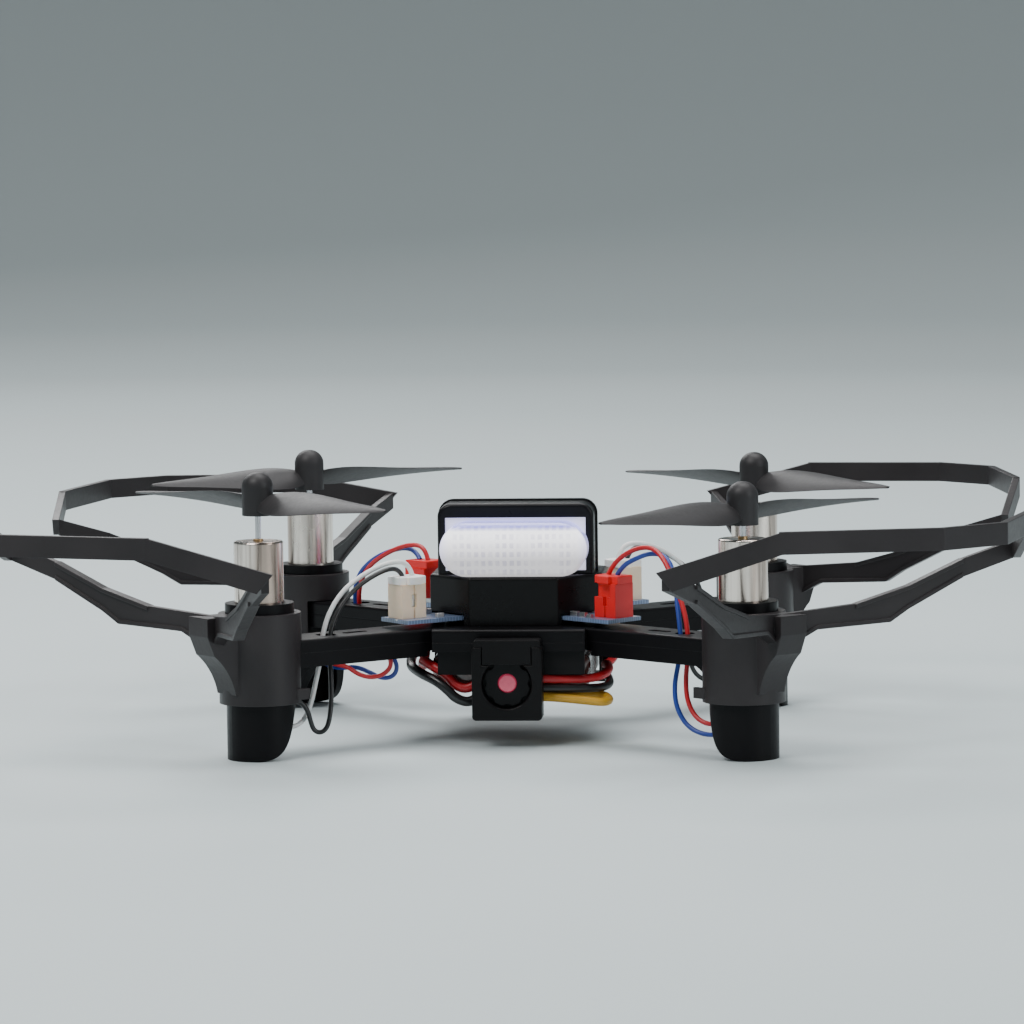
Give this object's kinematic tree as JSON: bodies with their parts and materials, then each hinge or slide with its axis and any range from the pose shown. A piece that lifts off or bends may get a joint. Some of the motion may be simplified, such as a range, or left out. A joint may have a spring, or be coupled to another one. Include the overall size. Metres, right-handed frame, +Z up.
{
  "type": "racing quadcopter",
  "caption": "Small racing quadcopter with X frame, brushed motors in tube legs, clip-on propeller guards, forward camera, lamp bar and belly battery.",
  "frame": {"origin": "on the ground plane under the middle of the four motor axes, the craft standing on its four legs", "axes": "+X to the craft's right, +Y to its back, so the camera looks along -Y, and +Z up"},
  "size_m": [0.1817, 0.1684, 0.0493],
  "materials": {
    "battery_foil": "shrink film over pouch cell",
    "battery_tape": "polyimide tape",
    "board_components": "components and solder",
    "bronze": "sintered bronze",
    "camera_black": "matt",
    "circuit_board": "solder mask",
    "focus_ring_black": "matt",
    "frame_black": "satin moulded nylon",
    "guard_black": "fine textured moulded plastic",
    "hoop_black": "satin moulded",
    "housing_black": "satin moulded",
    "lamp_base_violet": "translucent",
    "lamp_diffuser": "milky diffuser",
    "led_white": "light emitters",
    "lens_red": "coated lens front",
    "magnet": "plated magnet",
    "motor_cap_plastic": "moulded end cap",
    "motor_nickel": "polished nickel",
    "plug_red": "nylon",
    "plug_white": "nylon",
    "propeller_grey": "satin grey",
    "rotor_steel": "ground shaft",
    "screw_steel": "black oxide",
    "socket_cream": "unfilled nylon",
    "socket_red": "nylon",
    "tray_black": "satin moulded",
    "wire_black": "insulation",
    "wire_blue": "insulation",
    "wire_red": "insulation",
    "wire_white": "insulation",
    "wire_yellow": "insulation"
  },
  "bodies": {
    "frame": {"battery_circuit": "battery_tape", "battery_lead_black": "wire_black", "battery_lead_red": "wire_red", "battery_pack": "battery_foil", "battery_tray": "tray_black", "board_parts": "board_components", "camera_board": "circuit_board", "camera_bracket": "camera_black", "camera_case": "camera_black", "camera_wire_black": "wire_black", "camera_wire_red": "wire_red", "camera_wire_yellow": "wire_yellow", "flight_board": "circuit_board", "frame_chassis": "frame_black", "frame_cover": "frame_black", "frame_screws": "screw_steel", "guard_back_left": "guard_black", "guard_back_right": "guard_black", "guard_front_left": "guard_black", "guard_front_right": "guard_black", "housing": "housing_black", "lamp_base": "lamp_base_violet", "lamp_board": "circuit_board", "lamp_hoop": "hoop_black", "lamp_leds": "led_white", "lamp_lens": "lamp_diffuser", "lead_back_left_blue": "wire_blue", "lead_back_left_red": "wire_red", "lead_back_right_black": "wire_black", "lead_back_right_white": "wire_white", "lead_front_left_black": "wire_black", "lead_front_left_white": "wire_white", "lead_front_right_blue": "wire_blue", "lead_front_right_red": "wire_red", "motor_bushes": "bronze", "motor_can_back_left": "motor_nickel", "motor_can_back_right": "motor_nickel", "motor_can_front_left": "motor_nickel", "motor_can_front_right": "motor_nickel", "motor_end_caps": "motor_cap_plastic", "motor_magnets": "magnet", "plug_back_left": "plug_red", "plug_back_right": "plug_white", "plug_front_left": "plug_white", "plug_front_right": "plug_red", "socket_back_left": "socket_red", "socket_back_right": "socket_cream", "socket_front_left": "socket_cream", "socket_front_right": "socket_red", "socket_pins": "bronze"},
    "prop_front_left": {"motor_rotor_front_left": "rotor_steel", "propeller_front_left": "propeller_grey"},
    "prop_front_right": {"motor_rotor_front_right": "rotor_steel", "propeller_front_right": "propeller_grey"},
    "prop_back_left": {"motor_rotor_back_left": "rotor_steel", "propeller_back_left": "propeller_grey"},
    "prop_back_right": {"motor_rotor_back_right": "rotor_steel", "propeller_back_right": "propeller_grey"},
    "camera_lens": {"focus_ring": "focus_ring_black", "lens_glass": "lens_red"}
  },
  "joints": [
    {"name": "prop_front_left_spin", "type": "hinge", "parent": "frame", "child": "prop_front_left", "pos_m": [-0.0415, -0.035, 0.041], "axis": [0, 0, 1], "continuous": true},
    {"name": "prop_front_right_spin", "type": "hinge", "parent": "frame", "child": "prop_front_right", "pos_m": [0.0415, -0.035, 0.041], "axis": [0, 0, 1], "continuous": true},
    {"name": "prop_back_left_spin", "type": "hinge", "parent": "frame", "child": "prop_back_left", "pos_m": [-0.0415, 0.035, 0.041], "axis": [0, 0, 1], "continuous": true},
    {"name": "prop_back_right_spin", "type": "hinge", "parent": "frame", "child": "prop_back_right", "pos_m": [0.0415, 0.035, 0.041], "axis": [0, 0, 1], "continuous": true},
    {"name": "camera_focus", "type": "hinge", "parent": "frame", "child": "camera_lens", "pos_m": [0, -0.0232, 0.0113], "axis": [0, -1, 0], "range_deg": [-90, 90]}
  ]
}
